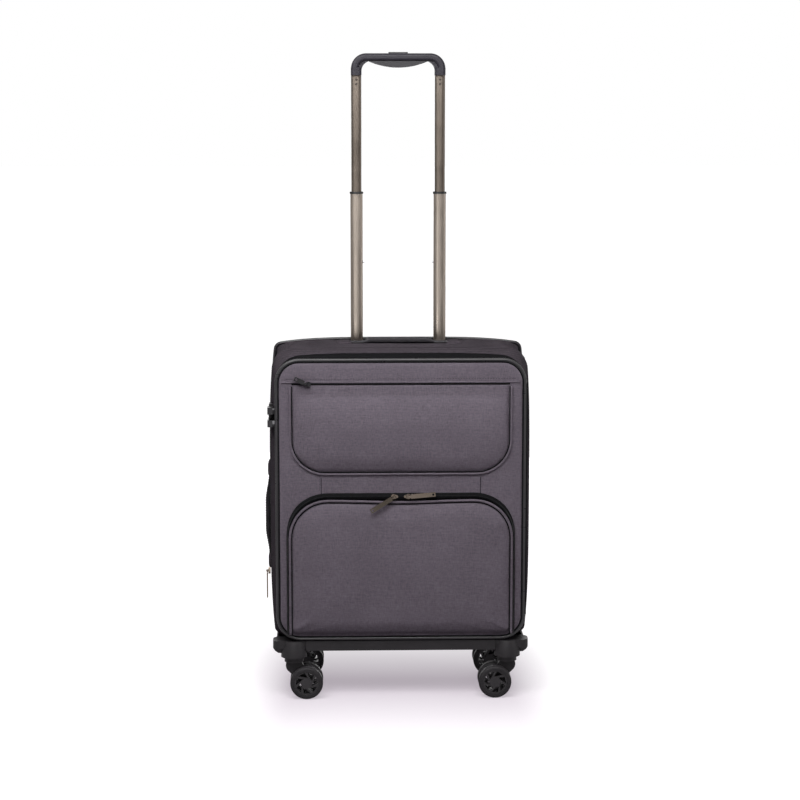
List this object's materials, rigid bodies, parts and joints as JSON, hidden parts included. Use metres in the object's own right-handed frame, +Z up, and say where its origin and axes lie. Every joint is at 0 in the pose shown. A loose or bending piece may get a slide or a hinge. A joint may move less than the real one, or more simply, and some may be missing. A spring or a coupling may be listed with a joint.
{
  "type": "softside upright suitcase",
  "caption": "Softside cabin suitcase on twin-wheel spinner casters, with a telescopic pull handle, zipped lid, two front pockets, side lock and carry straps.",
  "frame": {"origin": "on the floor, under the middle of the case", "axes": "+Z up, +Y towards the back panel, +X to the right as seen from the front"},
  "size_m": [0.4237, 0.2018, 1.0155],
  "materials": {
    "case_cloth": "dark grey melange woven polyester, matt",
    "lining_cloth": "thin smooth lining, matt",
    "zip_tape": "black knitted zip tape",
    "webbing": "black woven webbing, padded",
    "piping": "black, smooth with a soft shine",
    "base_plastic": "dark grey, fine moulded grain",
    "grip_plastic": "dark grey, satin",
    "grip_soft": "black, soft touch",
    "gloss_black": "black, satin gloss",
    "tube_bronze": "bronze anodised, satin",
    "tube_plain": "plain drawn",
    "steel": "plain",
    "zip_metal": "gunmetal plating, satin",
    "zip_black": "black, satin",
    "wheel_rubber": "dark grey, satin"
  },
  "bodies": {
    "case": {"rear_panel": "case_cloth", "body_gusset": "case_cloth", "body_welt": "piping", "lining_panel": "lining_cloth", "frame_hoop": "steel", "expansion_zip": "zip_tape", "expansion_gusset": "lining_cloth", "base_tray": "base_plastic", "wheel_housings": "base_plastic", "swivel_pins": "steel", "housing_screws": "steel", "outer_tubes": "tube_plain", "tube_foot": "base_plastic", "handle_bezel": "base_plastic", "top_carry_strap": "webbing", "side_carry_strap": "webbing", "strap_anchors": "base_plastic"},
    "front_section": {"front_gusset": "case_cloth", "main_zip_case_side": "zip_tape", "lock_body": "base_plastic"},
    "lid": {"lid_panel": "case_cloth", "lid_piping": "piping", "main_zip_lid_side": "zip_tape", "lid_lining": "lining_cloth", "lid_hinge_cord": "piping", "upper_pocket": "case_cloth", "upper_pocket_zip": "zip_tape", "lower_pocket_zip": "zip_tape"},
    "lower_pocket": {"lower_pocket_panel": "case_cloth"},
    "handle_mid": {"mid_tubes": "tube_bronze", "mid_collars": "gloss_black"},
    "handle_top": {"top_tubes": "tube_bronze", "grip_shell": "grip_plastic", "grip_insert": "grip_soft", "grip_rivets": "steel"},
    "lower_slider_left_body": {"lower_slider_left": "zip_metal"},
    "lower_slider_right_body": {"lower_slider_right": "zip_metal"},
    "upper_slider_body": {"upper_slider": "zip_black"},
    "main_slider_upper_body": {"main_slider_upper": "zip_metal"},
    "main_slider_lower_body": {"main_slider_lower": "zip_metal"},
    "expansion_slider_body": {"expansion_slider": "zip_metal"},
    "lower_pull_left_body": {"lower_pull_left": "zip_metal"},
    "lower_pull_right_body": {"lower_pull_right": "zip_metal"},
    "upper_pull_body": {"upper_pull": "zip_black"},
    "expansion_pull_body": {"expansion_pull": "zip_metal"},
    "lock_dial_1_body": {"lock_dial_1": "zip_metal"},
    "lock_dial_2_body": {"lock_dial_2": "zip_metal"},
    "lock_dial_3_body": {"lock_dial_3": "zip_metal"},
    "lock_button_body": {"lock_button": "steel"},
    "release_button_body": {"release_button": "gloss_black"},
    "spring_pin_left_body": {"spring_pin_left": "steel"},
    "spring_pin_right_body": {"spring_pin_right": "steel"},
    "caster_front_left": {"fork_front_left": "base_plastic"},
    "wheel_front_left": {"wheels_front_left": "wheel_rubber"},
    "caster_front_right": {"fork_front_right": "base_plastic"},
    "wheel_front_right": {"wheels_front_right": "wheel_rubber"},
    "caster_rear_left": {"fork_rear_left": "base_plastic"},
    "wheel_rear_left": {"wheels_rear_left": "wheel_rubber"},
    "caster_rear_right": {"fork_rear_right": "base_plastic"},
    "wheel_rear_right": {"wheels_rear_right": "wheel_rubber"}
  },
  "joints": [
    {"name": "expansion_slide", "type": "slide", "parent": "case", "child": "front_section", "axis": [0, -1, 0], "range_m": [0, 0.04], "deforming": ["expansion_gusset"]},
    {"name": "lid_hinge", "type": "hinge", "parent": "front_section", "child": "lid", "pos_m": [0.1979, -0.075, 0.3179], "axis": [0, 0, 1], "range_deg": [0, 175]},
    {"name": "lower_pocket_hinge", "type": "hinge", "parent": "lid", "child": "lower_pocket", "pos_m": [0, -0.0816, 0.1062], "axis": [1, 0, 0], "range_deg": [0, 35]},
    {"name": "lower_left_zip", "type": "slide", "parent": "lower_pocket", "child": "lower_slider_left_body", "axis": [-1, 0, 0], "range_m": [0, 0.098]},
    {"name": "lower_left_pull", "type": "hinge", "parent": "lower_slider_left_body", "child": "lower_pull_left_body", "pos_m": [-0.01, -0.0907, 0.3259], "axis": [-0.5, 0, 0.866], "range_deg": [0, 100]},
    {"name": "lower_right_zip", "type": "slide", "parent": "lower_pocket", "child": "lower_slider_right_body", "axis": [1, 0, 0], "range_m": [0, 0.098]},
    {"name": "lower_right_pull", "type": "hinge", "parent": "lower_slider_right_body", "child": "lower_pull_right_body", "pos_m": [0.01, -0.0907, 0.3259], "axis": [0.0872, 0, -0.9962], "range_deg": [0, 100]},
    {"name": "upper_zip", "type": "slide", "parent": "lid", "child": "upper_slider_body", "axis": [1, 0, 0], "range_m": [0, 0.29]},
    {"name": "upper_pull_hinge", "type": "hinge", "parent": "upper_slider_body", "child": "upper_pull_body", "pos_m": [-0.1454, -0.0875, 0.503], "axis": [0.4226, 0, 0.9063], "range_deg": [0, 100]},
    {"name": "main_zip_up", "type": "slide", "parent": "front_section", "child": "main_slider_upper_body", "axis": [0, 0, 1], "range_m": [0, 0.044]},
    {"name": "main_zip_down", "type": "slide", "parent": "front_section", "child": "main_slider_lower_body", "axis": [0, 0, -1], "range_m": [0, 0.29]},
    {"name": "expansion_zip_slide", "type": "slide", "parent": "case", "child": "expansion_slider_body", "axis": [0, 0, 1], "range_m": [0, 0.2]},
    {"name": "expansion_pull_hinge", "type": "hinge", "parent": "expansion_slider_body", "child": "expansion_pull_body", "pos_m": [-0.2121, -0.0228, 0.195], "axis": [0, 1, 0], "range_deg": [0, 100]},
    {"name": "lock_dial_1_turn", "type": "hinge", "parent": "front_section", "child": "lock_dial_1_body", "pos_m": [-0.20157, -0.037, 0.4425], "axis": [0, 0, 1], "continuous": true},
    {"name": "lock_dial_2_turn", "type": "hinge", "parent": "front_section", "child": "lock_dial_2_body", "pos_m": [-0.20157, -0.037, 0.449], "axis": [0, 0, 1], "continuous": true},
    {"name": "lock_dial_3_turn", "type": "hinge", "parent": "front_section", "child": "lock_dial_3_body", "pos_m": [-0.20157, -0.037, 0.4555], "axis": [0, 0, 1], "continuous": true},
    {"name": "lock_button_press", "type": "slide", "parent": "front_section", "child": "lock_button_body", "axis": [1, 0, 0], "range_m": [0, 0.0015], "stiffness_N_per_m": 300, "springref_m": -0.002},
    {"name": "handle_mid_slide", "type": "slide", "parent": "case", "child": "handle_mid", "axis": [0, 0, 1], "range_m": [-0.2371, 0]},
    {"name": "handle_top_slide", "type": "slide", "parent": "handle_mid", "child": "handle_top", "axis": [0, 0, 1], "range_m": [-0.1846, 0]},
    {"name": "release_button_press", "type": "slide", "parent": "handle_top", "child": "release_button_body", "axis": [0, 0, -1], "range_m": [0, 0.0025], "stiffness_N_per_m": 400, "springref_m": -0.003},
    {"name": "spring_pin_left_slide", "type": "slide", "parent": "handle_mid", "child": "spring_pin_left_body", "axis": [-1, 0, 0], "range_m": [0, 0.0024]},
    {"name": "spring_pin_right_slide", "type": "slide", "parent": "handle_mid", "child": "spring_pin_right_body", "axis": [1, 0, 0], "range_m": [0, 0.0024]},
    {"name": "swivel_front_left", "type": "hinge", "parent": "case", "child": "caster_front_left", "pos_m": [-0.1693, -0.068, 0.0615], "axis": [0, 0, 1], "continuous": true},
    {"name": "roll_front_left", "type": "hinge", "parent": "caster_front_left", "child": "wheel_front_left", "pos_m": [-0.1493, -0.068, 0.026], "axis": [0, 1, 0], "continuous": true},
    {"name": "swivel_front_right", "type": "hinge", "parent": "case", "child": "caster_front_right", "pos_m": [0.1693, -0.068, 0.0615], "axis": [0, 0, 1], "continuous": true},
    {"name": "roll_front_right", "type": "hinge", "parent": "caster_front_right", "child": "wheel_front_right", "pos_m": [0.1493, -0.068, 0.026], "axis": [0, 1, 0], "continuous": true},
    {"name": "swivel_rear_left", "type": "hinge", "parent": "case", "child": "caster_rear_left", "pos_m": [-0.1693, 0.068, 0.0615], "axis": [0, 0, 1], "continuous": true},
    {"name": "roll_rear_left", "type": "hinge", "parent": "caster_rear_left", "child": "wheel_rear_left", "pos_m": [-0.1493, 0.068, 0.026], "axis": [0, 1, 0], "continuous": true},
    {"name": "swivel_rear_right", "type": "hinge", "parent": "case", "child": "caster_rear_right", "pos_m": [0.1693, 0.068, 0.0615], "axis": [0, 0, 1], "continuous": true},
    {"name": "roll_rear_right", "type": "hinge", "parent": "caster_rear_right", "child": "wheel_rear_right", "pos_m": [0.1493, 0.068, 0.026], "axis": [0, 1, 0], "continuous": true}
  ],
  "couplings": [
    {"joint": "spring_pin_left_slide", "follows": "release_button_press", "ratio": 0.96},
    {"joint": "spring_pin_right_slide", "follows": "release_button_press", "ratio": 0.96}
  ]
}
